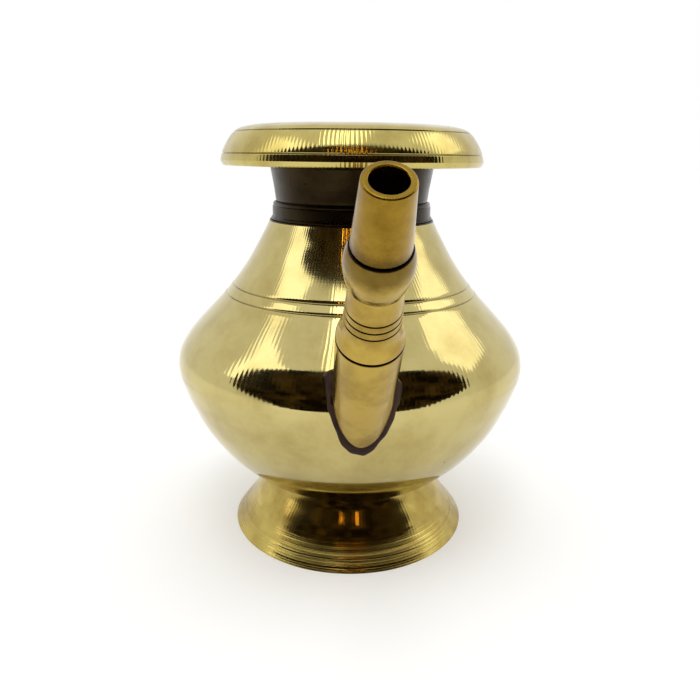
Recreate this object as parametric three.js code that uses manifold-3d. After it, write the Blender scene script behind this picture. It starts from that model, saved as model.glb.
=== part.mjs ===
// A turned brass water pot with a straight slanting spout. Millimetres, +Z up, standing on z = 0.
// The pot is made as such pots are: castings turned on a lathe and brazed together.
import * as THREE from 'three';
import { mergeVertices } from 'three/addons/utils/BufferGeometryUtils.js';
import Module from 'manifold-3d';

const wasm = await Module();
wasm.setup();

// Walls, joints and facets
const BODY_WALL = 2.0;
const FOOT_WALL = 2.2;
const FLOOR_THICKNESS = 2.2;
const FLOOR_CORNER_WIDTH = 1.0;
const SEAM_THICKNESS = 0.4;
const SEAM_RECESS = 0.15;
const SLIP_GAP = 0.15;
const SPOUT_GAP = 0.3;
const POT_FACETS = 40;
const SPOUT_FACETS = 24;

// Foot
const FOOT_RADIUS = 45.6;
const FOOT_HEIGHT = 20.6;
const FOOT_RING_WIDTH = 3.0;
const FOOT_RING_HEIGHT = 1.0;
const WAIST_RADIUS = 31.0;

// Body: the bowl below the belly seam and the shoulder above it
const BELLY_RADIUS = 64.2;
const BOWL_HEIGHT = 44.5;
const SHOULDER_HEIGHT = 52.0;
const SHOULDER_TOP_WIDTH = 2.7;
const SHOULDER_LEDGE = 2.4;
const SHOULDER_LINE_HEIGHT = 26.9;
const SHOULDER_LINE_SPACING = 3.0;
const LINE_WIDTH = 0.7;
const LINE_DEPTH = 0.35;
const LINE_MARGIN = 0.05;
const CURVE_MARGIN = 0.4;

// Neck and the band round its base: each swell is how far the neck stands out from its base
const NECK_BASE_RADIUS = 27.0;
const NECK_WAIST_SWELL = 0.3;
const NECK_WAIST_ABOVE_BAND = 1.0;
const NECK_MIDDLE_SWELL = 0.8;
const NECK_MIDDLE_ABOVE_BAND = 5.0;
const NECK_TOP_SWELL = 1.9;
const NECK_TOP_ABOVE_BAND = 11.3;
const NECK_TOP_INSET = 0.4;
const BAND_HEIGHT = 6.4;
const BAND_THICKNESS = 1.85;
const BAND_TAPER = 0.7;
const BAND_EDGE = 0.5;

// Rim: a flange shaped like an upturned saucer
const RIM_RADIUS = 46.0;
const RIM_HEIGHT = 13.4;
const RIM_CLEAR_OF_BAND = 12.1;
const RIM_WALL = 2.2;
const RIM_SEAT_EXTRA = 1.2;
const RIM_SEAT_WIDTH = 3.0;
const RIM_LIP_ROUND = 1.7;
const RIM_BRAZE_LEG = 1.8;
const RIM_HOLLOW_STEP = 2.0;
const RIM_LOWER_LINE = 4.02;
const RIM_UPPER_LINE = 10.988;
const RIM_LINE_WIDTH = 0.8;
const RIM_LINE_DEPTH = 0.3;

// Spout: its axis leaves the pot's own axis plane at this height and distance
const SPOUT_ELEVATION = 51;
const SPOUT_ANCHOR_OUT = 53.25;
const SPOUT_ANCHOR_HEIGHT = 59.75;
const SLEEVE_INSIDE_LENGTH = 13.0;
const SLEEVE_LENGTH = 47.5;
const SLEEVE_RADIUS = 8.95;
const SLEEVE_WALL = 1.5;
const SPIGOT_LENGTH = 4.5;
const SPIGOT_WALL = 1.1;
const INNER_SPIGOT_LENGTH = 3.5;
const STEM_LENGTH = 20.7;
const STEM_FLARE_RADIUS = 8.95;
const STEM_FLARE_LENGTH = 6.2;
const STEM_FLARE_EDGE = 0.2;
const STEM_FLARE_EDGE_HEIGHT = 0.5;
const STEM_FLARE_HOLLOW = 0.45;
const STEM_LOWER_RADIUS = 7.4;
const STEM_UPPER_RADIUS = 6.5;
const STEM_LINES = 3;
const STEM_LINE_PITCH = 2.8;
const STEM_LINE_START = 1.0;
const STEM_SPIGOT_STEP = 1.0;
const BULB_LENGTH = 11.8;
const BULB_RADIUS = 8.14;
const BULB_LOWER_RADIUS = 6.9;
const BULB_UPPER_RADIUS = 7.1;
const TIP_LENGTH = 17.7;
const TIP_BASE_RADIUS = 6.8;
const TIP_END_RADIUS = 5.6;
const TIP_BORE_RADIUS = 4.0;
const TIP_SPIGOT_STEP = 0.8;
const TIP_EDGE = 0.3;
const FILLET_REACH = 2.2;
const FILLET_THICKNESS = 1.2;

// Each form lists [share of the height, share of the swell] from the foot of a curve to its top.
const FOOT_FORM = [[0, 1], [0.12, 0.87], [0.36, 0.6], [0.61, 0.377], [0.85, 0.103], [1, 0]];
const BOWL_FORM = [
  [0, 0], [0.05, 0.17], [0.15, 0.335], [0.315, 0.553], [0.54, 0.765], [0.765, 0.905], [1, 1],
];
const SHOULDER_FORM = [
  [0, 1], [0.05, 1], [0.127, 0.968], [0.223, 0.878], [0.319, 0.75],
  [0.512, 0.475], [0.704, 0.252], [0.896, 0.081], [1, 0],
];
const RIM_FORM = [
  [0, 1], [0.22, 0.957], [0.45, 0.865], [0.675, 0.742], [0.8, 0.645], [0.9, 0.5], [0.97, 0.25], [1, 0],
];

// Radii that follow the neck's
const NECK_BORE_RADIUS = NECK_BASE_RADIUS - BODY_WALL;
const NECK_TOP_RADIUS = NECK_BASE_RADIUS + NECK_TOP_SWELL;
const SHOULDER_TOP_RADIUS = NECK_BASE_RADIUS + SHOULDER_TOP_WIDTH;

// Heights of the stack, each piece standing on the one below
const BOWL_BASE = FOOT_HEIGHT + SEAM_THICKNESS;
const BOWL_TOP = BOWL_BASE + BOWL_HEIGHT;
const SHOULDER_BASE = BOWL_TOP + SEAM_THICKNESS;
const SHOULDER_TOP = SHOULDER_BASE + SHOULDER_HEIGHT;
const NECK_BASE = SHOULDER_TOP + SEAM_THICKNESS;
const BAND_TOP = NECK_BASE + BAND_HEIGHT;
const RIM_BASE = BAND_TOP + RIM_CLEAR_OF_BAND;
const RIM_TOP = RIM_BASE + RIM_HEIGHT;
const RIM_UNDERSIDE = RIM_TOP - RIM_WALL - RIM_SEAT_EXTRA;

const point = (radius, height) => new THREE.Vector2(radius, height);

// A smooth curve through a form, scaled between two radii and two heights.
function formCurve(form, innerRadius, outerRadius, base, height, steps) {
  const through = form.map(([up, swell]) =>
    point(innerRadius + swell * (outerRadius - innerRadius), base + up * height));
  return new THREE.SplineCurve(through).getPoints(steps);
}

// The same curve moved sideways: towards the axis where distance is positive. Its ends keep their heights.
function offsetCurve(curve, distance) {
  const last = curve.length - 1;
  return curve.map((p, i) => {
    const along = curve[Math.min(i + 1, last)].clone().sub(curve[Math.max(i - 1, 0)]).normalize();
    const keepsHeight = i === 0 || i === last;
    return point(p.x - along.y * distance, keepsHeight ? p.y : p.y + along.x * distance);
  });
}

// A coarser copy of a curve that keeps both ends, for the surfaces inside.
function everyOther(curve) {
  return curve.filter((p, i) => i % 2 === 0 || i === curve.length - 1);
}

// Cuts a V-shaped line into a rising curve at a height.
function scribe(curve, height, width = LINE_WIDTH, depth = LINE_DEPTH) {
  const i = curve.findIndex((p, k) => k > 0 && p.y >= height && curve[k - 1].y < height);
  if (i < 0) return curve;
  const [a, b] = [curve[i - 1], curve[i]];
  const along = b.clone().sub(a).normalize();
  const centre = a.clone().lerp(b, (height - a.y) / (b.y - a.y));
  const edge = along.clone().multiplyScalar(width / 2);
  const bottom = point(centre.x - along.y * depth, centre.y + along.x * depth);
  const below = curve.slice(0, i).filter((p) => p.y < centre.y - edge.y - LINE_MARGIN);
  const above = curve.slice(i).filter((p) => p.y > centre.y + edge.y + LINE_MARGIN);
  return [...below, centre.clone().sub(edge), bottom, centre.clone().add(edge), ...above];
}

// Turns a closed outline about +Z. The outline runs anticlockwise, so its faces point outwards.
function turned(outline, facets = POT_FACETS) {
  const loop = THREE.ShapeUtils.area(outline) > 0 ? [...outline] : [...outline].reverse();
  loop.push(loop[0].clone());
  return new THREE.LatheGeometry(loop, facets).rotateX(Math.PI / 2);
}

function solidOf(geometry) {
  const bare = geometry.clone();
  bare.deleteAttribute('normal');
  bare.deleteAttribute('uv');
  const merged = mergeVertices(bare, 1e-4);
  return new wasm.Manifold(new wasm.Mesh({
    numProp: 3,
    vertProperties: merged.attributes.position.array,
    triVerts: new Uint32Array(merged.index.array),
  }));
}

function geometryOf(solid) {
  const mesh = solid.getMesh();
  const geometry = new THREE.BufferGeometry();
  geometry.setAttribute('position', new THREE.BufferAttribute(new Float32Array(mesh.vertProperties), 3));
  geometry.setIndex(new THREE.BufferAttribute(new Uint32Array(mesh.triVerts), 1));
  geometry.computeVertexNormals();
  return geometry;
}

// The frame of the spout: +Z along its axis, towards the outlet.
const spoutMatrix = new THREE.Matrix4()
  .makeRotationX(THREE.MathUtils.degToRad(90 - SPOUT_ELEVATION))
  .setPosition(0, -SPOUT_ANCHOR_OUT, SPOUT_ANCHOR_HEIGHT);

// Outlines shared by the body and by the cuts that fit the spout to it
const bowlOuter = formCurve(BOWL_FORM, WAIST_RADIUS, BELLY_RADIUS, BOWL_BASE, BOWL_HEIGHT, 10);
const bowlInner = everyOther(offsetCurve(bowlOuter, BODY_WALL))
  .filter((p) => p.y > BOWL_BASE + FLOOR_THICKNESS + CURVE_MARGIN);
const floorCorner = point(bowlInner[0].x - FLOOR_CORNER_WIDTH, BOWL_BASE + FLOOR_THICKNESS);
const shoulderPlain = formCurve(
  SHOULDER_FORM, SHOULDER_TOP_RADIUS, BELLY_RADIUS, SHOULDER_BASE, SHOULDER_HEIGHT, 12);
const shoulderInner = everyOther(offsetCurve(shoulderPlain, BODY_WALL))
  .filter((p) => p.y < SHOULDER_TOP - SHOULDER_LEDGE - CURVE_MARGIN);

const voidOutline = [
  point(0, floorCorner.y), floorCorner, ...bowlInner, ...shoulderInner,
  point(0, SHOULDER_TOP - SHOULDER_LEDGE),
];
const bodyVoid = solidOf(turned(voidOutline));

function bodyGrownBy(distance) {
  const outline = [...offsetCurve(bowlOuter, -distance), ...offsetCurve(shoulderPlain, -distance)];
  return solidOf(turned([point(0, BOWL_BASE), ...outline, point(0, SHOULDER_TOP)]));
}

function sleeveOutline(extra, bore) {
  const from = -SLEEVE_INSIDE_LENGTH;
  return [
    point(bore ? SLEEVE_RADIUS - SLEEVE_WALL : 0, from),
    point(SLEEVE_RADIUS + extra, from),
    point(SLEEVE_RADIUS + extra, SLEEVE_LENGTH),
    point(bore ? SLEEVE_RADIUS - SLEEVE_WALL : 0, SLEEVE_LENGTH),
  ];
}

const spoutHole = solidOf(turned(sleeveOutline(SPOUT_GAP, false), SPOUT_FACETS).applyMatrix4(spoutMatrix));
const holed = (geometry) => geometryOf(solidOf(geometry).subtract(spoutHole));

function footGeometry() {
  const flare = formCurve(FOOT_FORM, WAIST_RADIUS, FOOT_RADIUS, 0, FOOT_HEIGHT, 8);
  const inside = everyOther(offsetCurve(flare, FOOT_WALL)).slice(1)
    .filter((p) => p.y > FOOT_RING_HEIGHT).reverse();
  return turned([...flare, ...inside, point(FOOT_RADIUS - FOOT_RING_WIDTH, 0)]);
}

function bowlGeometry() {
  return holed(turned([
    point(0, BOWL_BASE), ...bowlOuter, ...[...bowlInner].reverse(), floorCorner, point(0, floorCorner.y),
  ]));
}

function shoulderGeometry() {
  const lineHeight = SHOULDER_BASE + SHOULDER_LINE_HEIGHT;
  const lined = scribe(scribe(shoulderPlain, lineHeight), lineHeight + SHOULDER_LINE_SPACING);
  return holed(turned([
    ...lined, point(NECK_BORE_RADIUS, SHOULDER_TOP), point(NECK_BORE_RADIUS, SHOULDER_TOP - SHOULDER_LEDGE),
    ...[...shoulderInner].reverse(),
  ]));
}

// A thin flat ring of brazing metal that fills a seam, a little below the surface on both sides.
function seamRing(innerRadius, outerRadius, base) {
  return turned([
    point(innerRadius + SEAM_RECESS, base), point(outerRadius - SEAM_RECESS, base),
    point(outerRadius - SEAM_RECESS, base + SEAM_THICKNESS),
    point(innerRadius + SEAM_RECESS, base + SEAM_THICKNESS),
  ]);
}

const neckTop = RIM_TOP - NECK_TOP_INSET;

function neckGeometry() {
  const outside = [
    point(NECK_BASE_RADIUS, NECK_BASE), point(NECK_BASE_RADIUS, BAND_TOP),
    point(NECK_BASE_RADIUS + NECK_WAIST_SWELL, BAND_TOP + NECK_WAIST_ABOVE_BAND),
    point(NECK_BASE_RADIUS + NECK_MIDDLE_SWELL, BAND_TOP + NECK_MIDDLE_ABOVE_BAND),
    point(NECK_TOP_RADIUS, BAND_TOP + NECK_TOP_ABOVE_BAND), point(NECK_TOP_RADIUS, neckTop),
  ];
  const inside = outside.map((p) => point(p.x - BODY_WALL, p.y)).reverse();
  return turned([...outside, ...inside]);
}

function bandGeometry() {
  const bore = NECK_BASE_RADIUS + SLIP_GAP;
  const lowerRadius = bore + BAND_THICKNESS;
  const upperRadius = lowerRadius - BAND_TAPER;
  return turned([
    point(bore, NECK_BASE), point(lowerRadius, NECK_BASE),
    point(upperRadius, BAND_TOP - BAND_EDGE), point(upperRadius - BAND_EDGE, BAND_TOP - SLIP_GAP),
    point(bore, BAND_TOP - SLIP_GAP),
  ]);
}

// The dome of the rim from its lip to the flat seat round the mouth, with one line near each end.
function rimGeometry() {
  const bore = NECK_TOP_RADIUS + SLIP_GAP;
  const seatRadius = bore + RIM_SEAT_WIDTH;
  const lipHeight = RIM_BASE + RIM_LIP_ROUND;
  const dome = formCurve(RIM_FORM, seatRadius, RIM_RADIUS, lipHeight, RIM_TOP - lipHeight, 9);
  const lined = [RIM_LOWER_LINE, RIM_UPPER_LINE].reduce(
    (curve, height) => scribe(curve, RIM_BASE + height, RIM_LINE_WIDTH, RIM_LINE_DEPTH), dome);
  const lip = [
    point(RIM_RADIUS - RIM_WALL, lipHeight), point(RIM_RADIUS - 0.7 * RIM_WALL, RIM_BASE),
    point(RIM_RADIUS - 0.3 * RIM_WALL, RIM_BASE),
  ];
  const hollow = offsetCurve(dome, RIM_WALL).slice(1)
    .filter((p) => p.y < RIM_UNDERSIDE - CURVE_MARGIN).reverse();
  return turned([
    ...lip, ...lined, point(bore, RIM_TOP), point(bore, RIM_UNDERSIDE),
    point(hollow[0].x - RIM_HOLLOW_STEP, RIM_UNDERSIDE), ...hollow,
  ]);
}

function rimBrazeGeometry() {
  const bore = NECK_TOP_RADIUS + SLIP_GAP;
  return turned([
    point(bore, RIM_UNDERSIDE - RIM_BRAZE_LEG), point(bore + RIM_BRAZE_LEG, RIM_UNDERSIDE),
    point(bore, RIM_UNDERSIDE),
  ]);
}

function sleeveGeometry() {
  const tube = solidOf(turned(sleeveOutline(0, true), SPOUT_FACETS));
  const inverse = spoutMatrix.clone().invert();
  return geometryOf(tube.subtract(bodyVoid.transform(inverse.elements)));
}

// Brazing metal heaped round the sleeve where it leaves the belly.
function filletGeometry() {
  const outline = sleeveOutline(SPOUT_GAP + FILLET_REACH, false);
  const reach = solidOf(turned(outline, SPOUT_FACETS).applyMatrix4(spoutMatrix));
  return geometryOf(reach
    .intersect(bodyGrownBy(SPOUT_GAP + FILLET_THICKNESS))
    .subtract(bodyGrownBy(SPOUT_GAP))
    .subtract(spoutHole));
}

const stemBase = SLEEVE_LENGTH + SPOUT_GAP;
const stemTop = stemBase + STEM_LENGTH;
const bulbBase = stemTop + SPOUT_GAP;
const bulbTop = bulbBase + BULB_LENGTH;
const tipBase = bulbTop + SPOUT_GAP;
const stemSpigot = STEM_UPPER_RADIUS - STEM_SPIGOT_STEP;
const tipSpigot = TIP_BASE_RADIUS - TIP_SPIGOT_STEP;

// The stem: a flared skirt that covers the sleeve's end, three turned lines, and a spigot at each end.
function stemGeometry() {
  const lowerSpigot = SLEEVE_RADIUS - SLEEVE_WALL - SPOUT_GAP;
  const bore = stemSpigot - SPIGOT_WALL;
  const flareTop = stemBase + STEM_FLARE_LENGTH;
  let outside = [
    point(STEM_FLARE_RADIUS - STEM_FLARE_EDGE, stemBase),
    point(STEM_FLARE_RADIUS, stemBase + STEM_FLARE_EDGE_HEIGHT),
    point(STEM_LOWER_RADIUS + STEM_FLARE_HOLLOW, stemBase + 0.55 * STEM_FLARE_LENGTH),
    point(STEM_LOWER_RADIUS, flareTop),
    point(STEM_UPPER_RADIUS, stemTop),
  ];
  for (let i = 0; i < STEM_LINES; i += 1) {
    outside = scribe(outside, flareTop + STEM_LINE_START + i * STEM_LINE_PITCH);
  }
  return turned([
    point(lowerSpigot, stemBase - SPIGOT_LENGTH), point(lowerSpigot, stemBase), ...outside,
    point(stemSpigot, stemTop), point(stemSpigot, stemTop + INNER_SPIGOT_LENGTH),
    point(bore, stemTop + INNER_SPIGOT_LENGTH), point(bore, stemBase),
    point(lowerSpigot - SPIGOT_WALL, stemBase - SPIGOT_LENGTH),
  ], SPOUT_FACETS);
}

// The bulb: a round collar that hides the joint between the stem and the tip.
function bulbGeometry() {
  const lowerBore = stemSpigot + SPOUT_GAP;
  const upperBore = tipSpigot + SPOUT_GAP;
  const middle = bulbBase + 0.52 * BULB_LENGTH;
  return turned([
    point(lowerBore, bulbBase), point(BULB_LOWER_RADIUS, bulbBase),
    point(0.45 * BULB_LOWER_RADIUS + 0.55 * BULB_RADIUS, bulbBase + 0.2 * BULB_LENGTH),
    point(BULB_RADIUS, middle),
    point(0.3 * BULB_UPPER_RADIUS + 0.7 * BULB_RADIUS, bulbBase + 0.8 * BULB_LENGTH),
    point(BULB_UPPER_RADIUS, bulbTop), point(upperBore, bulbTop),
    point(upperBore, middle), point(lowerBore, middle),
  ], SPOUT_FACETS);
}

function tipGeometry() {
  const end = tipBase + TIP_LENGTH;
  return turned([
    point(TIP_BORE_RADIUS, tipBase - INNER_SPIGOT_LENGTH), point(tipSpigot, tipBase - INNER_SPIGOT_LENGTH),
    point(tipSpigot, tipBase), point(TIP_BASE_RADIUS, tipBase), point(TIP_END_RADIUS, end - TIP_EDGE),
    point(TIP_END_RADIUS - TIP_EDGE, end), point(TIP_BORE_RADIUS, end),
  ], SPOUT_FACETS);
}

// Colour and roughness of each finish
const brass = {
  polished: [0xc9bd7a, 0.16],
  turned: [0xbfa655, 0.3],
  dull: [0x3e3420, 0.5],
  braze: [0x4a3026, 0.65],
};

function piece(name, geometry, [color, roughness]) {
  const material = new THREE.MeshStandardMaterial({ color, roughness, metalness: 1 });
  const mesh = new THREE.Mesh(geometry, material);
  mesh.name = name;
  return mesh;
}

const pot = new THREE.Group();
pot.add(
  piece('foot', footGeometry(), brass.turned),
  piece('foot_seam_braze', seamRing(WAIST_RADIUS - FOOT_WALL, WAIST_RADIUS, FOOT_HEIGHT), brass.braze),
  piece('lower_bowl', bowlGeometry(), brass.polished),
  piece('belly_seam_braze', holed(seamRing(BELLY_RADIUS - BODY_WALL, BELLY_RADIUS, BOWL_TOP)), brass.braze),
  piece('shoulder', shoulderGeometry(), brass.polished),
  piece('neck_seam_braze', seamRing(NECK_BORE_RADIUS, SHOULDER_TOP_RADIUS, SHOULDER_TOP), brass.braze),
  piece('neck', neckGeometry(), brass.dull),
  piece('neck_band', bandGeometry(), brass.dull),
  piece('rim_flange', rimGeometry(), brass.polished),
  piece('rim_seam_braze', rimBrazeGeometry(), brass.braze),
  piece('spout_root_braze', filletGeometry(), brass.braze),
);

const spout = new THREE.Group();
spout.applyMatrix4(spoutMatrix);
spout.add(
  piece('spout_sleeve', sleeveGeometry(), brass.turned),
  piece('spout_stem', stemGeometry(), brass.turned),
  piece('spout_bulb', bulbGeometry(), brass.turned),
  piece('spout_tip', tipGeometry(), brass.turned),
);
pot.add(spout);

// The origin lies on the ground under the middle of the plan, so the pot's own axis stands behind it.
const extent = new THREE.Box3().setFromObject(pot, true);
pot.position.y = -(extent.min.y + extent.max.y) / 2;

export default pot;
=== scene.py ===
"""A turned brass water pot with a straight slanting spout, on a white studio floor. Metres, +Z up."""
import math

import bmesh
import bpy
from mathutils import Matrix, Vector


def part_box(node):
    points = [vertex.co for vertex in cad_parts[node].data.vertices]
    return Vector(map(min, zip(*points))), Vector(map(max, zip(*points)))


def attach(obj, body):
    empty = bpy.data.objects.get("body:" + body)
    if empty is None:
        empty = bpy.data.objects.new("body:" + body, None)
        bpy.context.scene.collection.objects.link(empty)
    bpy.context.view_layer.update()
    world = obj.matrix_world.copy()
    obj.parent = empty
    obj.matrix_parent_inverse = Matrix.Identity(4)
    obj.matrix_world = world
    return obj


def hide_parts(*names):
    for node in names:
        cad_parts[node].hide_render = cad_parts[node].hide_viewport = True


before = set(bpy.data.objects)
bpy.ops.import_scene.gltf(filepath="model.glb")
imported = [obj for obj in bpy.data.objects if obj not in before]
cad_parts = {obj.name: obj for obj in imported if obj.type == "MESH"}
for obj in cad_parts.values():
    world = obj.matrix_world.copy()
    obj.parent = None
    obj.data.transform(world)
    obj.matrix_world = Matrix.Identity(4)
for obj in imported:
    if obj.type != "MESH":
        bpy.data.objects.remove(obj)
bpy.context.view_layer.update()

MM = 0.001
POT_FACETS = 160
SPOUT_FACETS = 96
CURVE_STEPS = 72


def base(node):
    """The height of a node's underside."""
    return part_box(node)[0][2]


def top(node):
    """The height of a node's upper side."""
    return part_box(node)[1][2]


def radius(node):
    """The outer radius of a turned node."""
    low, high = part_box(node)
    return (high[0] - low[0]) / 2


# Sizes of the turned body, read from the frame where a node's box gives them
POT_AXIS_Y = sum(corner[1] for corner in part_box("foot")) / 2
BODY_WALL = 2.0 * MM
FOOT_WALL = 2.2 * MM
FOOT_RING_WIDTH = 3.0 * MM
FLOOR_THICKNESS = 2.2 * MM
WAIST_RADIUS = 31.0 * MM
SHOULDER_TOP_RADIUS = 29.7 * MM
SHOULDER_LEDGE = 2.4 * MM
SHOULDER_LINES = (26.9 * MM, 29.9 * MM)
NECK_BASE_RADIUS = 27.0 * MM
NECK_WAIST_RADIUS = 27.3 * MM
NECK_FLARE_HEIGHT = 17.7 * MM
BAND_RADII = (29.0 * MM, 28.3 * MM)
BELLY_RADIUS = radius("lower_bowl")
RIM_HEIGHT = top("rim_flange") - base("rim_flange")
RIM_WALL = 2.2 * MM
RIM_LIP_ROUND = 1.7 * MM
RIM_SEAT_WIDTH = 3.0 * MM
RIM_LINE_SHARES = (0.3, 0.82)
SLIP_GAP = 0.15 * MM
LINE_WIDTH = 0.7 * MM
LINE_DEPTH = 0.3 * MM
EDGE_ROUND = 0.35 * MM

# Sizes of the spout, along and round its own axis
SPOUT_ELEVATION = math.radians(51)
SPOUT_ANCHOR = Vector((0, POT_AXIS_Y - 53.25 * MM, 59.75 * MM))
SPOUT_GAP = 0.3 * MM
SLEEVE_RADIUS = radius("spout_sleeve")
SLEEVE_WALL = 1.5 * MM
SLEEVE_LENGTH = 47.5 * MM
SLEEVE_INSIDE_LENGTH = 13.0 * MM
SPIGOT_LENGTH = 4.5 * MM
SPIGOT_WALL = 1.1 * MM
STEM_LENGTH = 20.7 * MM
STEM_FLARE_LENGTH = 7.0 * MM
STEM_LOWER_RADIUS = 7.4 * MM
STEM_UPPER_RADIUS = 6.5 * MM
STEM_LINE_START = 1.3 * MM
STEM_LINE_PITCH = 2.4 * MM
BULB_LENGTH = 11.8 * MM
BULB_RADIUS = radius("spout_bulb")
BULB_LOWER_RADIUS = 6.9 * MM
BULB_UPPER_RADIUS = 7.1 * MM
TIP_LENGTH = 17.7 * MM
TIP_BASE_RADIUS = radius("spout_tip")
TIP_END_RADIUS = 5.6 * MM
TIP_BORE_RADIUS = 4.0 * MM
TIP_EDGE = 0.3 * MM
BRAZE_REACH = 2.1 * MM
BRAZE_CLIMB = 2.4 * MM
BRAZE_BURIED = 0.5 * MM
BRAZE_THINNEST = 0.34
BRAZE_SIDE_HEAP = 0.85
BRAZE_SIDE_TURN = math.radians(32)

# Each form lists (share of the height, share of the swell) from the foot of a curve to its top.
FOOT_FORM = ((0, 1), (0.12, 0.87), (0.36, 0.6), (0.61, 0.377), (0.85, 0.103), (1, 0))
BOWL_FORM = ((0, 0), (0.05, 0.17), (0.15, 0.335), (0.315, 0.553), (0.54, 0.765), (0.765, 0.905),
             (0.9, 0.968), (0.97, 0.994), (1, 1))
SHOULDER_FORM = ((0, 1), (0.05, 1), (0.127, 0.968), (0.223, 0.878), (0.319, 0.75),
                 (0.512, 0.475), (0.704, 0.252), (0.896, 0.081), (1, 0))
RIM_FORM = ((0, 1), (0.22, 0.957), (0.45, 0.865), (0.675, 0.742), (0.8, 0.645), (0.9, 0.5),
            (0.97, 0.25), (1, 0))


def point(out, up):
    return Vector((out, up))


def spline(through, steps):
    """A smooth curve through points, the same one that the solids follow."""
    last = len(through) - 1
    curve = []
    for step in range(steps + 1):
        at = step * last / steps
        k = min(int(at), last - 1)
        share = at - k
        before, start, end, after = (through[min(max(j, 0), last)] for j in (k - 1, k, k + 1, k + 2))
        leave, arrive = (end - before) / 2, (after - start) / 2
        curve.append((2 * start - 2 * end + leave + arrive) * share ** 3
                     + (3 * end - 3 * start - 2 * leave - arrive) * share ** 2 + leave * share + start)
    return curve


def form_curve(form, inner, outer, low, high, steps=CURVE_STEPS):
    """A form scaled between two radii and two heights."""
    through = [point(inner + swell * (outer - inner), low + up * (high - low)) for up, swell in form]
    return spline(through, steps)


def offset_curve(curve, distance):
    """The curve moved inwards by a wall's thickness. Its ends keep their heights."""
    last = len(curve) - 1
    moved = []
    for i, p in enumerate(curve):
        along = (curve[min(i + 1, last)] - curve[max(i - 1, 0)]).normalized()
        rise = 0 if i in (0, last) else along.x * distance
        moved.append(point(p.x - along.y * distance, p.y + rise))
    return moved


def scribed(curve, height, width=LINE_WIDTH, depth=LINE_DEPTH):
    """Cuts a turned line with rounded sides into a rising curve."""
    k = next(i for i in range(1, len(curve)) if curve[i].y >= height > curve[i - 1].y)
    step = curve[k] - curve[k - 1]
    centre = curve[k - 1] + step * ((height - curve[k - 1].y) / step.y)
    along = step.normalized()
    inward = point(-along.y, along.x)
    shares = [share / 8 for share in range(-4, 5)]
    cut = [centre + along * (width * s) + inward * (depth * math.cos(math.pi * s) ** 2) for s in shares]
    below = [p for p in curve[:k] if (p - centre).length > 0.6 * width]
    above = [p for p in curve[k:] if (p - centre).length > 0.6 * width]
    return below + cut + above


def softened(outline, reach=EDGE_ROUND, sharpest=math.radians(24)):
    """Rounds the sharp corners of a closed outline, as a file or cloth would."""
    rounded = []
    for before, corner, after in zip(outline[-1:] + outline[:-1], outline, outline[1:] + outline[:1]):
        back, onward = before - corner, after - corner
        if corner.x < 1e-6 or math.pi - back.angle(onward) < sharpest:
            rounded.append(corner)
            continue
        start = corner + back.normalized() * min(reach, back.length * 0.45)
        end = corner + onward.normalized() * min(reach, onward.length * 0.45)
        for share in (0, 0.25, 0.5, 0.75, 1):
            rounded.append(start.lerp(corner, share).lerp(corner.lerp(end, share), share))
    return rounded


POT_PLACE = Matrix.Translation((0, POT_AXIS_Y, 0))
SPOUT_PLACE = Matrix.Translation(SPOUT_ANCHOR) @ Matrix.Rotation(math.pi / 2 - SPOUT_ELEVATION, 4, "X")


def new_object(name, shape):
    """Turns a finished bmesh into an object at the origin."""
    mesh = bpy.data.meshes.new(name)
    shape.to_mesh(mesh)
    shape.free()
    made = bpy.data.objects.new(name, mesh)
    bpy.context.scene.collection.objects.link(made)
    return made


def unworked_or_shaded(face, with_floor):
    """Whether a face is on the inside or underside, which the maker leaves as cast and which takes the dark
    inside metal, partly painted shade.
    """
    outward = face.calc_center_median() * Vector((1, 1, 0))
    inward = face.normal.dot(outward.normalized()) < -0.25
    return inward or face.normal.z < -0.6 or (with_floor and face.normal.z > 0.9)


def turned(name, outline, place=POT_PLACE, facets=POT_FACETS, soften=True, with_floor=False):
    """Spins a closed outline of (radius, height) points round the piece's axis."""
    shape = bmesh.new()
    ring = [shape.verts.new((p.x, 0, p.y)) for p in (softened(outline) if soften else outline)]
    edges = [shape.edges.new(pair) for pair in zip(ring, ring[1:] + ring[:1])]
    bmesh.ops.spin(shape, geom=ring + edges, axis=(0, 0, 1), cent=(0, 0, 0),
                   angle=math.tau, steps=facets, use_merge=True)
    bmesh.ops.remove_doubles(shape, verts=shape.verts, dist=1e-7)
    bmesh.ops.recalc_face_normals(shape, faces=shape.faces)
    shape.normal_update()
    # Faces inside and underneath take the second slot, the cast metal darkened partly as painted shade.
    for face in shape.faces:
        face.material_index = int(unworked_or_shaded(face, with_floor))
    bmesh.ops.transform(shape, matrix=place, verts=shape.verts)
    return new_object(name, shape)


def cut_away(piece, cutters):
    """Subtracts each cutter from a piece for good."""
    for cutter in cutters:
        cut = piece.modifiers.new("cut", "BOOLEAN")
        cut.object = cutter
        cut.operation = "DIFFERENCE"
        cut.solver = "EXACT"
    graph = bpy.context.evaluated_depsgraph_get()
    mesh = bpy.data.meshes.new_from_object(piece.evaluated_get(graph))
    piece.modifiers.clear()
    piece.data = mesh


def hand_over(piece, node, material):
    """Gives a finished piece its metal, dark on the inside as unworked cast metal and painted shade, and lets
    it stand for its CAD node.
    """
    piece.data.materials.clear()
    piece.data.materials.append(material)
    piece.data.materials.append(cast_and_shaded_inside)
    piece.data.shade_smooth()
    piece.data.set_sharp_from_angle(angle=math.radians(32))
    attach(piece, "root")
    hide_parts(node)


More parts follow.
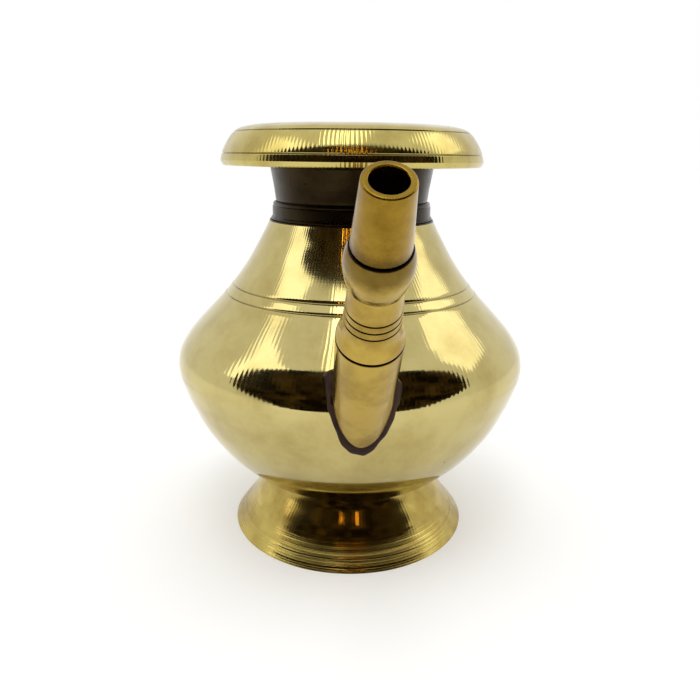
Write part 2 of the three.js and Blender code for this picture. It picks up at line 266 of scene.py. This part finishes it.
# Outlines of the two halves of the body, shared with the spout's cuts
bowl_outer = form_curve(BOWL_FORM, WAIST_RADIUS, BELLY_RADIUS, base("lower_bowl"), top("lower_bowl"))
bowl_floor = base("lower_bowl") + FLOOR_THICKNESS
bowl_inner = [p for p in offset_curve(bowl_outer, BODY_WALL)[::2] if p.y > bowl_floor + 0.4 * MM]
shoulder_outer = form_curve(SHOULDER_FORM, SHOULDER_TOP_RADIUS, BELLY_RADIUS,
                            base("shoulder"), top("shoulder"))
ledge = top("shoulder") - SHOULDER_LEDGE
shoulder_inner = [p for p in offset_curve(shoulder_outer, BODY_WALL)[::2] if p.y < ledge - 0.4 * MM]
neck_bore = NECK_BASE_RADIUS - BODY_WALL


def body_radius(height):
    """The outer radius of the body at a height, for fitting the spout's root."""
    curve = bowl_outer + shoulder_outer
    for low, high in zip(curve, curve[1:]):
        if low.y <= height <= high.y:
            return low.x + (high.x - low.x) * (height - low.y) / max(high.y - low.y, 1e-9)
    return 0.0


def bowl():
    corner = point(bowl_inner[0].x - 1 * MM, bowl_floor)
    return turned("lower_bowl_metal", [point(0, base("lower_bowl"))] + bowl_outer + bowl_inner[::-1]
                  + [corner, point(0, bowl_floor)], soften=False, with_floor=True)


def shoulder():
    outer = shoulder_outer
    for height in SHOULDER_LINES:
        outer = scribed(outer, base("shoulder") + height)
    rim = [point(neck_bore, top("shoulder")), point(neck_bore, ledge)]
    return turned("shoulder_metal", outer + rim + shoulder_inner[::-1], soften=False)


def foot():
    outer = form_curve(FOOT_FORM, WAIST_RADIUS, radius("foot"), base("foot"), top("foot"))
    inner = [p for p in offset_curve(outer, FOOT_WALL)[::2] if p.y > 1.0 * MM]
    inner[-1] = point(WAIST_RADIUS - FOOT_WALL, top("foot"))
    ring = point(radius("foot") - FOOT_RING_WIDTH, base("foot"))
    return turned("foot_metal", outer + inner[::-1] + [ring])


def neck():
    low, band_top, high = base("neck"), top("neck_band"), top("neck")
    flare = spline([point(NECK_WAIST_RADIUS, band_top + 1 * MM),
                    point(NECK_WAIST_RADIUS + 0.5 * MM, band_top + 5 * MM),
                    point(radius("neck"), low + NECK_FLARE_HEIGHT)], 24)
    outside = [point(NECK_BASE_RADIUS, low), point(NECK_BASE_RADIUS, band_top)] + flare
    outside.append(point(radius("neck"), high))
    inside = [point(p.x - BODY_WALL, p.y) for p in outside]
    return turned("neck_metal", outside + inside[::-1])


def neck_band():
    low, high = base("neck_band"), top("neck_band")
    bore = NECK_BASE_RADIUS + SLIP_GAP
    lower, upper = BAND_RADII
    outside = [point(lower, low), point(lower, low + 0.9 * MM), point(lower - 0.5 * MM, low + 1.2 * MM),
               point(upper + 0.15 * MM, high - 1.5 * MM), point(upper - 0.3 * MM, high - 1.2 * MM),
               point(upper, high - 0.8 * MM), point(upper - 0.4 * MM, high)]
    return turned("neck_band_metal", outside + [point(bore, high), point(bore, low)])


def rim():
    low, high, widest = base("rim_flange"), top("rim_flange"), radius("rim_flange")
    bore = radius("neck") + SLIP_GAP
    lip = low + RIM_LIP_ROUND
    dome = form_curve(RIM_FORM, bore + RIM_SEAT_WIDTH, widest, lip, high)
    underside = high - RIM_WALL - 1.2 * MM
    hollow = [p for p in offset_curve(dome, RIM_WALL)[1::2] if p.y < underside - 0.4 * MM]
    for share in RIM_LINE_SHARES:
        dome = scribed(dome, low + share * RIM_HEIGHT)
    edge = spline([point(widest - RIM_WALL, lip), point(widest - 0.7 * RIM_WALL, low + 0.1 * MM),
                   point(widest - 0.3 * RIM_WALL, low + 0.25 * MM), point(widest, lip)], 12)[:-1]
    return turned("rim_metal", edge + dome + [point(bore, high), point(bore, underside),
                  point(hollow[-1].x - 2 * MM, underside)] + hollow[::-1])


def flat_ring(name, inner, outer, node):
    low, high = base(node), top(node)
    outline = [point(inner, low), point(outer, low), point(outer, high), point(inner, high)]
    return turned(name, outline, soften=False)


def rim_braze():
    bore, low, high = radius("neck") + SLIP_GAP, base("rim_seam_braze"), top("rim_seam_braze")
    return turned("rim_braze", [point(bore, low), point(bore + high - low, high), point(bore, high)])


def spout_turned(name, outline, soften=True):
    return turned(name, outline, SPOUT_PLACE, SPOUT_FACETS, soften)


def sleeve():
    inner = SLEEVE_RADIUS - SLEEVE_WALL
    tube = [point(inner, -SLEEVE_INSIDE_LENGTH), point(SLEEVE_RADIUS, -SLEEVE_INSIDE_LENGTH),
            point(SLEEVE_RADIUS, SLEEVE_LENGTH), point(inner, SLEEVE_LENGTH)]
    return spout_turned("spout_sleeve_metal", tube)


stem_base = SLEEVE_LENGTH + SPOUT_GAP
stem_top = stem_base + STEM_LENGTH
bulb_base = stem_top + SPOUT_GAP
bulb_top = bulb_base + BULB_LENGTH
tip_base = bulb_top + SPOUT_GAP
stem_spigot = STEM_UPPER_RADIUS - 1 * MM
tip_spigot = TIP_BASE_RADIUS - 0.8 * MM


def stem():
    lower = SLEEVE_RADIUS - SLEEVE_WALL - SPOUT_GAP
    flare = SLEEVE_RADIUS
    flare_top = stem_base + STEM_FLARE_LENGTH
    skirt = spline([point(flare, stem_base + 0.6 * MM), point(flare - 0.35 * MM, stem_base + 2.2 * MM),
                    point(STEM_LOWER_RADIUS + 0.45 * MM, stem_base + 0.6 * STEM_FLARE_LENGTH),
                    point(STEM_LOWER_RADIUS, flare_top)], 18)
    outer = [point(flare - 0.25 * MM, stem_base)] + skirt + [point(STEM_UPPER_RADIUS, stem_top)]
    for line in range(3):
        outer = scribed(outer, flare_top + STEM_LINE_START + line * STEM_LINE_PITCH)
    bore = stem_spigot - SPIGOT_WALL
    reach = stem_top + SPIGOT_LENGTH - 1 * MM
    lower_spigot = [point(lower, stem_base - SPIGOT_LENGTH), point(lower, stem_base)]
    upper_spigot = [point(stem_spigot, stem_top), point(stem_spigot, reach), point(bore, reach)]
    inside = [point(bore, stem_base), point(lower - SPIGOT_WALL, stem_base - SPIGOT_LENGTH)]
    return spout_turned("spout_stem_metal", lower_spigot + outer + upper_spigot + inside)


def bulb():
    lower, upper = stem_spigot + SPOUT_GAP, tip_spigot + SPOUT_GAP
    middle = bulb_base + 0.52 * BULB_LENGTH
    swell = spline([point(BULB_LOWER_RADIUS, bulb_base),
                    point(0.45 * BULB_LOWER_RADIUS + 0.55 * BULB_RADIUS, bulb_base + 0.2 * BULB_LENGTH),
                    point(BULB_RADIUS, middle),
                    point(0.3 * BULB_UPPER_RADIUS + 0.7 * BULB_RADIUS, bulb_base + 0.8 * BULB_LENGTH),
                    point(BULB_UPPER_RADIUS, bulb_top)], 36)
    return spout_turned("spout_bulb_metal", swell + [point(upper, bulb_top), point(upper, middle),
                        point(lower, middle), point(lower, bulb_base)])


def tip():
    end = tip_base + TIP_LENGTH
    start = tip_base - SPIGOT_LENGTH + 1 * MM
    return spout_turned("spout_tip_metal", [point(tip_spigot, start), point(tip_spigot, tip_base),
                        point(TIP_BASE_RADIUS, tip_base), point(TIP_END_RADIUS, end - TIP_EDGE),
                        point(TIP_END_RADIUS - TIP_EDGE, end), point(TIP_BORE_RADIUS, end),
                        point(TIP_BORE_RADIUS, start)])


def spout_point(out, turn, along):
    return SPOUT_PLACE @ Vector((out * math.cos(turn), out * math.sin(turn), along))


def meets_body(out, turn):
    """How far along the spout a line at this radius leaves the body."""
    inside, outside = -15 * MM, 45 * MM
    for _ in range(40):
        middle = (inside + outside) / 2
        place = spout_point(out, turn, middle)
        if math.hypot(place.x, place.y - POT_AXIS_Y) < body_radius(place.z):
            inside = middle
        else:
            outside = middle
    return inside


def root_section(turn):
    """A heap of braze between sleeve and belly at one angle: thick beside the sleeve, thin below it."""
    heaped = BRAZE_THINNEST + (1 - BRAZE_THINNEST) * (0.5 + 0.5 * math.sin(turn)) ** 0.7
    for side in (BRAZE_SIDE_TURN, math.pi - BRAZE_SIDE_TURN):
        heaped += BRAZE_SIDE_HEAP * max(0, math.cos(turn - side)) ** 10
    hand_work = 0.17 * math.sin(3 * turn + 0.8) + 0.11 * math.sin(8 * turn) + 0.06 * math.sin(17 * turn + 2)
    uneven = heaped * (1 + hand_work)
    joint = meets_body(SLEEVE_RADIUS, turn)
    edge_out = SLEEVE_RADIUS + BRAZE_REACH * uneven
    edge = meets_body(edge_out, turn)
    top_of_heap = joint + BRAZE_CLIMB * uneven
    climbed = spout_point(SLEEVE_RADIUS, turn, top_of_heap)
    crown = spout_point(SLEEVE_RADIUS + 0.8 * BRAZE_REACH * uneven, turn,
                        (joint + edge) / 2 + 0.7 * BRAZE_CLIMB * uneven)
    spread = spout_point(edge_out, turn, edge - 0.1 * MM)
    heap = [climbed.lerp(crown, s).lerp(crown.lerp(spread, s), s) for s in (0, 0.2, 0.4, 0.6, 0.8, 1)]
    buried = [spout_point(edge_out, turn, edge - BRAZE_BURIED),
              spout_point(SLEEVE_RADIUS - BRAZE_BURIED, turn, joint - BRAZE_BURIED),
              spout_point(SLEEVE_RADIUS - BRAZE_BURIED, turn, top_of_heap)]
    return heap + buried


def root_braze():
    shape = bmesh.new()
    sections = [root_section(math.tau * i / SPOUT_FACETS) for i in range(SPOUT_FACETS)]
    loops = []
    for row in zip(*sections):
        ring = [shape.verts.new(place) for place in row]
        loops.append([shape.edges.new(pair) for pair in zip(ring, ring[1:] + ring[:1])])
    for loop, following in zip(loops, loops[1:] + loops[:1]):
        bmesh.ops.bridge_loops(shape, edges=loop + following)
    bmesh.ops.recalc_face_normals(shape, faces=shape.faces)
    return new_object("spout_root_braze_metal", shape)


def linear(hex_colour):
    """An sRGB hex colour as linear values with alpha."""
    channels = [int(hex_colour[i:i + 2], 16) / 255 for i in (1, 3, 5)]
    return [c / 12.92 if c <= 0.04045 else ((c + 0.055) / 1.055) ** 2.4 for c in channels] + [1.0]


def add(tree, kind, inputs, **settings):
    """Adds a node with its settings, links and values."""
    made = tree.nodes.new(kind)
    for key, value in settings.items():
        setattr(made, key, value)
    for key, value in inputs.items():
        if isinstance(value, bpy.types.NodeSocket):
            tree.links.new(value, made.inputs[key])
        else:
            made.inputs[key].default_value = value
    return made


def turned_metal(name, colours, roughness, ring_mm, ring_depth_mm, chatter_count, chatter_depth_mm,
                 stain, centre=(0, POT_AXIS_Y, 0), tilt=0.0, grime=(), deep_rings=None):
    """Brass off the lathe: rings left by the tool, chatter across them, and a thin uneven tarnish."""
    material = bpy.data.materials.new(name)
    material.use_nodes = True
    tree = material.node_tree
    shader = tree.nodes["Principled BSDF"]
    bright, tarnished, pit_colour = (linear(colour) for colour in colours)
    place = add(tree, "ShaderNodeTexCoord", {}).outputs["Object"]
    lathe = add(tree, "ShaderNodeMapping", {"Vector": place, "Location": centre, "Rotation": (tilt, 0, 0)},
                vector_type="TEXTURE").outputs["Vector"]
    flat = add(tree, "ShaderNodeVectorMath", {0: lathe, 1: (1, 1, 0)}, operation="MULTIPLY").outputs["Vector"]
    out = add(tree, "ShaderNodeVectorMath", {0: flat}, operation="LENGTH").outputs["Value"]
    split = add(tree, "ShaderNodeSeparateXYZ", {"Vector": lathe})
    turn = add(tree, "ShaderNodeMath", {0: split.outputs["X"], 1: split.outputs["Y"]},
               operation="ARCTAN2").outputs["Value"]
    profile = add(tree, "ShaderNodeCombineXYZ", {"X": out, "Z": split.outputs["Z"]}).outputs["Vector"]
    rings = add(tree, "ShaderNodeTexNoise", {"Vector": profile, "Scale": 1 / (ring_mm * MM), "Detail": 3.0,
                                             "Roughness": 0.6}).outputs["Fac"]
    wander = add(tree, "ShaderNodeTexNoise", {"Vector": lathe, "Scale": 1 / (14 * MM),
                                              "Detail": 1.0}).outputs["Fac"]
    phase = add(tree, "ShaderNodeMath", {0: turn, 1: float(chatter_count)},
                operation="MULTIPLY").outputs["Value"]
    phase = add(tree, "ShaderNodeMath", {0: wander, 1: 7.0, 2: phase},
                operation="MULTIPLY_ADD").outputs["Value"]
    wave = add(tree, "ShaderNodeMath", {0: phase}, operation="SINE").outputs["Value"]
    patches = add(tree, "ShaderNodeTexNoise", {"Vector": lathe, "Scale": 1 / (24 * MM),
                                               "Detail": 2.0}).outputs["Fac"]
    patches = add(tree, "ShaderNodeMapRange", {"Value": patches, "From Min": 0.36, "From Max": 0.62,
                                               "To Min": 0.25}).outputs["Result"]
    chatter = add(tree, "ShaderNodeMath", {0: wave, 1: patches}, operation="MULTIPLY").outputs["Value"]
    ring_depth = ring_depth_mm
    if deep_rings:
        height, fade, deepest_mm = deep_rings
        ring_depth = add(tree, "ShaderNodeMapRange", {
            "Value": split.outputs["Z"], "From Min": height, "From Max": height + fade,
            "To Min": deepest_mm, "To Max": ring_depth_mm}).outputs["Result"]
    relief = add(tree, "ShaderNodeMath", {0: rings, 1: ring_depth}, operation="MULTIPLY").outputs["Value"]
    relief = add(tree, "ShaderNodeMath", {0: chatter, 1: chatter_depth_mm, 2: relief},
                 operation="MULTIPLY_ADD").outputs["Value"]
    bump = add(tree, "ShaderNodeBump", {"Height": relief, "Distance": 1 * MM,
                                        "Strength": 1.0}).outputs["Normal"]
    clouds = add(tree, "ShaderNodeTexNoise", {"Vector": lathe, "Scale": 1 / (17 * MM), "Detail": 6.0,
                                              "Roughness": 0.62}).outputs["Fac"]
    clouds = add(tree, "ShaderNodeMapRange", {"Value": clouds, "From Min": 0.42, "From Max": 0.78,
                                              "To Max": stain}).outputs["Result"]
    colour = add(tree, "ShaderNodeMix", {0: clouds, 6: bright, 7: tarnished}, data_type="RGBA").outputs[2]
    cells = add(tree, "ShaderNodeTexVoronoi", {"Vector": lathe, "Scale": 1 / (7.5 * MM)})
    pits = add(tree, "ShaderNodeMapRange", {"Value": cells.outputs["Distance"], "From Min": 0.03,
                                            "From Max": 0.07, "To Min": 1.0,
                                            "To Max": 0.0}).outputs["Result"]
    chosen = add(tree, "ShaderNodeSeparateXYZ", {"Vector": cells.outputs["Color"]}).outputs["X"]
    chosen = add(tree, "ShaderNodeMath", {0: chosen, 1: 0.8}, operation="GREATER_THAN").outputs["Value"]
    soiled = add(tree, "ShaderNodeMath", {0: pits, 1: chosen}, operation="MULTIPLY").outputs["Value"]
    for height, reach, fade, strength in grime:
        away = add(tree, "ShaderNodeMath", {0: split.outputs["Z"], 1: height},
                   operation="SUBTRACT").outputs["Value"]
        away = add(tree, "ShaderNodeMath", {0: away}, operation="ABSOLUTE").outputs["Value"]
        uneven = add(tree, "ShaderNodeMath", {0: clouds, 1: -0.6 * fade, 2: away},
                     operation="MULTIPLY_ADD").outputs["Value"]
        band = add(tree, "ShaderNodeMapRange", {"Value": uneven, "From Min": reach, "From Max": reach + fade,
                                                "To Min": strength, "To Max": 0.0}).outputs["Result"]
        soiled = add(tree, "ShaderNodeMath", {0: soiled, 1: band}, operation="MAXIMUM").outputs["Value"]
    colour = add(tree, "ShaderNodeMix", {0: soiled, 6: colour, 7: pit_colour}, data_type="RGBA").outputs[2]
    gloss = add(tree, "ShaderNodeMapRange", {"Value": clouds, "To Min": roughness[0],
                                             "To Max": roughness[1]}).outputs["Result"]
    shader.inputs["Metallic"].default_value = 1.0
    tree.links.new(colour, shader.inputs["Base Color"])
    tree.links.new(gloss, shader.inputs["Roughness"])
    tree.links.new(bump, shader.inputs["Normal"])
    return material


# Dirt settles in turned lines and joints: (place along the axis, reach, fade, strength).
first_line = stem_base + STEM_FLARE_LENGTH + STEM_LINE_START
SPOUT_LATHE = {
    "centre": tuple(SPOUT_ANCHOR),
    "tilt": math.pi / 2 - SPOUT_ELEVATION,
    "grime": [(first_line + line * STEM_LINE_PITCH, 0.16 * MM, 0.16 * MM, 0.95) for line in range(3)]
             + [(SLEEVE_LENGTH, 0.12 * MM, 0.35 * MM, 1.0), (bulb_base, 0.1 * MM, 0.35 * MM, 0.7),
                (bulb_top, 0.12 * MM, 0.45 * MM, 1.0), (bulb_top - 1.6 * MM, 0.8 * MM, 4.0 * MM, 0.55)],
}
BODY_GRIME = [(base("shoulder") + height, 0.05 * MM, 0.2 * MM, 0.5) for height in SHOULDER_LINES]
RIM_GRIME = [(base("rim_flange") + share * RIM_HEIGHT, 0.04 * MM, 0.2 * MM, 0.6) for share in RIM_LINE_SHARES]

# Cast brass, turned and buffed: a mirror with faint chatter, pale olive gold where it faces the light.
polished = turned_metal("polished turned brass", ("#c0b276", "#9c8748", "#4a3a1c"), (0.07, 0.2),
                        0.55, 0.004, 232, 0.008, 0.75, grime=BODY_GRIME)
# The rim was turned last and least buffed, so its chatter shows as fine upright lines.
rim_brass = turned_metal("chattered turned brass", ("#c2b36c", "#937b36", "#3a2c14"), (0.1, 0.22),
                         0.6, 0.008, 216, 0.022, 0.85, grime=RIM_GRIME)
# The foot kept the tool's rings, deepest near its edge, which spread its highlights up and down.
foot_brass = turned_metal("ring turned brass", ("#bca85c", "#87682a", "#33260f"), (0.1, 0.26),
                          1.2, 0.03, 180, 0.004, 0.95, deep_rings=(5 * MM, 5 * MM, 0.7))
# Spout tubing, scraped and rubbed by hand: satin and warmer than the body.
spout_brass = turned_metal("satin drawn brass", ("#b79c4a", "#735316", "#241606"), (0.16, 0.34),
                           0.8, 0.012, 60, 0.004, 1.0, **SPOUT_LATHE)
# The outlet end is handled and heated most, so it has gone brown gold.
outlet_brass = turned_metal("browned drawn brass", ("#9c7e2c", "#5c3f0a", "#1c1004"), (0.2, 0.4),
                            0.8, 0.014, 60, 0.004, 1.0, **SPOUT_LATHE)
# Brass that no tool or cloth reached: brown-black oxide with dull metal showing through.
neck_brass = turned_metal("oxidised unpolished brass", ("#2f2515", "#140c06", "#080503"), (0.26, 0.5),
                          1.3, 0.03, 90, 0.002, 1.0)
# The inside as it came from the mould, dry and grainy; its darkness is partly painted shade in the hollows and
# undersides.
cast_and_shaded_inside = turned_metal("rough cast brass with painted shade", ("#5a4a2c", "#2c2012", "#120c06"), (0.5, 0.7),
                           0.9, 0.06, 40, 0.01, 1.0)
# Spelter from the brazing hearth: dark copper brown, pitted and dull.
braze = turned_metal("brazing spelter", ("#3a2a23", "#170f0d", "#0a0605"), (0.3, 0.55),
                     1.1, 0.14, 40, 0.03, 1.0)

hole_start = -SLEEVE_INSIDE_LENGTH - 5 * MM
hole_radius = SLEEVE_RADIUS + SLIP_GAP
hole = spout_turned("spout_hole_cutter", [point(0, hole_start), point(hole_radius, hole_start),
                    point(hole_radius, SLEEVE_LENGTH), point(0, SLEEVE_LENGTH)], soften=False)
inside = turned("body_inside_cutter", [point(0, bowl_floor), point(bowl_inner[0].x - 1 * MM, bowl_floor)]
                + bowl_inner + shoulder_inner + [point(0, ledge)], soften=False)
seam = flat_ring("belly_seam_metal", BELLY_RADIUS - BODY_WALL + SLIP_GAP, BELLY_RADIUS, "belly_seam_braze")

pieces = {"lower_bowl": bowl(), "shoulder": shoulder(), "spout_sleeve": sleeve()}
for pierced in (pieces["lower_bowl"], pieces["shoulder"], seam):
    cut_away(pierced, [hole])
cut_away(pieces["spout_sleeve"], [inside])
for cutter in (hole, inside):
    bpy.data.objects.remove(cutter)

hand_over(pieces["lower_bowl"], "lower_bowl", polished)
hand_over(pieces["shoulder"], "shoulder", polished)
hand_over(pieces["spout_sleeve"], "spout_sleeve", spout_brass)
hand_over(seam, "belly_seam_braze", polished)
hand_over(foot(), "foot", foot_brass)
hand_over(neck(), "neck", neck_brass)
hand_over(neck_band(), "neck_band", neck_brass)
hand_over(rim(), "rim_flange", rim_brass)
hand_over(rim_braze(), "rim_seam_braze", braze)
hand_over(root_braze(), "spout_root_braze", braze)
hand_over(stem(), "spout_stem", spout_brass)
hand_over(bulb(), "spout_bulb", spout_brass)
hand_over(tip(), "spout_tip", outlet_brass)
hand_over(flat_ring("foot_seam_metal", WAIST_RADIUS - FOOT_WALL + SLIP_GAP, WAIST_RADIUS - SLIP_GAP,
                    "foot_seam_braze"), "foot_seam_braze", braze)
hand_over(flat_ring("neck_seam_metal", neck_bore + SLIP_GAP, SHOULDER_TOP_RADIUS - SLIP_GAP,
                    "neck_seam_braze"), "neck_seam_braze", braze)


def plain(name, hex_colour, roughness):
    """A plain matt surface of the studio."""
    material = bpy.data.materials.new(name)
    material.use_nodes = True
    shader = material.node_tree.nodes["Principled BSDF"]
    shader.inputs["Base Color"].default_value = linear(hex_colour)
    shader.inputs["Roughness"].default_value = roughness
    shader.inputs["Specular IOR Level"].default_value = 0.0
    return material


def studio_floor():
    """A matt white floor that the camera and reflections see a little brighter, so its far part is white."""
    shape = bmesh.new()
    bmesh.ops.create_grid(shape, x_segments=1, y_segments=1, size=6.0)
    made = new_object("studio_floor", shape)
    material = plain("matt white sweep", "#fbfbfb", 1.0)
    tree = material.node_tree
    path = add(tree, "ShaderNodeLightPath", {})
    seen = add(tree, "ShaderNodeMath", {0: path.outputs["Is Camera Ray"], 1: path.outputs["Is Glossy Ray"]},
               operation="MAXIMUM").outputs["Value"]
    seen = add(tree, "ShaderNodeMath", {0: seen, 1: path.outputs["Is Transmission Ray"]},
               operation="MAXIMUM").outputs["Value"]
    glow = add(tree, "ShaderNodeMath", {0: seen, 1: FLOOR_GLOW}, operation="MULTIPLY").outputs["Value"]
    shader = tree.nodes["Principled BSDF"]
    shader.inputs["Emission Color"].default_value = (1, 1, 1, 1)
    tree.links.new(glow, shader.inputs["Emission Strength"])
    made.data.materials.append(material)


def dark_wall():
    """The unlit side of the room, an oval in front of the pot that only its reflections show."""
    shape = bmesh.new()
    rows = [math.radians(WALL_MIDDLE + WALL_RISE * (i / 24 - 1)) for i in range(49)]
    start = Matrix.Rotation(math.radians(-WALL_REACH), 4, "Z")
    line = [shape.verts.new(start @ Vector((0, -math.cos(rise), math.sin(rise)))) for rise in rows]
    edges = [shape.edges.new(pair) for pair in zip(line, line[1:])]
    bmesh.ops.spin(shape, geom=line + edges, axis=(0, 0, 1), cent=(0, 0, 0),
                   angle=math.radians(2 * WALL_REACH), steps=96)
    outside = []
    for face in shape.faces:
        middle = face.calc_center_median()
        across = math.degrees(math.atan2(middle.x, -middle.y)) / WALL_REACH
        upward = (math.degrees(math.asin(middle.normalized().z)) - WALL_MIDDLE) / WALL_RISE
        if math.hypot(across, upward) > 1:
            outside.append(face)
    bmesh.ops.delete(shape, geom=outside, context="FACES")
    bmesh.ops.rotate(shape, cent=(0, 0, 0), matrix=Matrix.Rotation(math.radians(WALL_AZIMUTH), 3, "Z"),
                     verts=shape.verts)
    bmesh.ops.scale(shape, vec=(WALL_DISTANCE,) * 3, verts=shape.verts)
    bmesh.ops.translate(shape, vec=(0, POT_AXIS_Y, 70 * MM), verts=shape.verts)
    made = new_object("dark_wall", shape)
    material = plain("unlit wall", "#1c150c", 0.9)
    tree = material.node_tree
    patches = add(tree, "ShaderNodeTexNoise", {"Vector": add(tree, "ShaderNodeTexCoord", {}).outputs["Object"],
                                               "Scale": 9.0, "Detail": 3.0}).outputs["Fac"]
    patches = add(tree, "ShaderNodeMapRange", {"Value": patches, "From Min": 0.45,
                                               "From Max": 0.7}).outputs["Result"]
    colour = add(tree, "ShaderNodeMix", {0: patches, 6: linear("#120c06"), 7: linear("#4a3a20")},
                 data_type="RGBA").outputs[2]
    tree.links.new(colour, tree.nodes["Principled BSDF"].inputs["Base Color"])
    made.data.materials.append(material)
    made.visible_camera = False
    made.visible_diffuse = False
    made.visible_shadow = False


def lamp(name, azimuth, elevation, distance, size, watts, colour="#ffffff"):
    """A soft box aimed at the middle of the pot. Azimuth 0 is in front, positive to the right."""
    turn, rise = math.radians(azimuth), math.radians(elevation)
    aim = Vector((0, POT_AXIS_Y, 80 * MM))
    away = Vector((math.sin(turn) * math.cos(rise), -math.cos(turn) * math.cos(rise), math.sin(rise)))
    data = bpy.data.lights.new(name, "AREA")
    data.shape = "RECTANGLE"
    data.size, data.size_y = size
    data.energy = watts
    data.color = linear(colour)[:3]
    made = bpy.data.objects.new(name, data)
    turned_to_pot = away.to_track_quat("Z", "Y").to_matrix().to_4x4()
    made.matrix_world = Matrix.Translation(aim + away * distance) @ turned_to_pot
    bpy.context.scene.collection.objects.link(made)


def studio_world():
    world = bpy.data.worlds.new("white studio")
    world.use_nodes = True
    world.node_tree.nodes["Background"].inputs["Color"].default_value = (1, 1, 1, 1)
    world.node_tree.nodes["Background"].inputs["Strength"].default_value = 1.0
    bpy.context.scene.world = world


# The unlit side of the room: its turn, half its width, its middle and half its height in degrees
WALL_AZIMUTH = -3
WALL_REACH = 77
WALL_MIDDLE = 24
WALL_RISE = 34
WALL_DISTANCE = 0.5
FLOOR_GLOW = 0.04

# The camera that took the photograph, fitted to the circles of the rim, belly and foot
CAMERA_DISTANCE = 240.7 * MM
CAMERA_HEIGHT = 140.9 * MM
CAMERA_AZIMUTH = math.radians(3.5)
CAMERA_PITCH = math.radians(16.81)
CAMERA_ROLL = math.radians(0.63)
PHOTO_PIXELS = 700
LENS_PIXELS = 649.7
SENSOR_MM = 36


def photograph_camera():
    data = bpy.data.cameras.new("photograph_camera")
    data.sensor_width = SENSOR_MM
    data.sensor_fit = "HORIZONTAL"
    data.lens = LENS_PIXELS / PHOTO_PIXELS * SENSOR_MM
    data.clip_start = 5 * MM
    ahead = Vector((math.sin(CAMERA_AZIMUTH), math.cos(CAMERA_AZIMUTH), 0))
    look = ahead * math.cos(CAMERA_PITCH) - Vector((0, 0, math.sin(CAMERA_PITCH)))
    level = Vector((math.cos(CAMERA_AZIMUTH), -math.sin(CAMERA_AZIMUTH), 0))
    upright = level.cross(look)
    right = level * math.cos(CAMERA_ROLL) + upright * math.sin(CAMERA_ROLL)
    up = upright * math.cos(CAMERA_ROLL) - level * math.sin(CAMERA_ROLL)
    made = bpy.data.objects.new("photograph_camera", data)
    turn = Matrix((right, up, -look)).transposed().to_4x4()
    place = Vector((0, POT_AXIS_Y, CAMERA_HEIGHT)) - ahead * CAMERA_DISTANCE
    made.matrix_world = Matrix.Translation(place) @ turn
    bpy.context.scene.collection.objects.link(made)
    bpy.context.scene.camera = made


studio_floor()
studio_world()
dark_wall()
lamp("left_soft_box", -75, 38, 1.3, (0.7, 0.7), 1.85)
lamp("right_soft_box", 100, 40, 1.3, (0.6, 0.6), 1.3)
lamp("tall_strip_lamp", -16, 69, 1.0, (0.22, 0.6), 1.0)
for azimuth, rise in ((-13, 44), (-2, 50), (9, 42)):
    lamp("warm_strip_lamp", azimuth, rise, 0.48, (0.006, 0.09), 0.013, "#ffb347")
photograph_camera()
bpy.context.scene.view_settings.view_transform = "Standard"

bpy.context.view_layer.update()
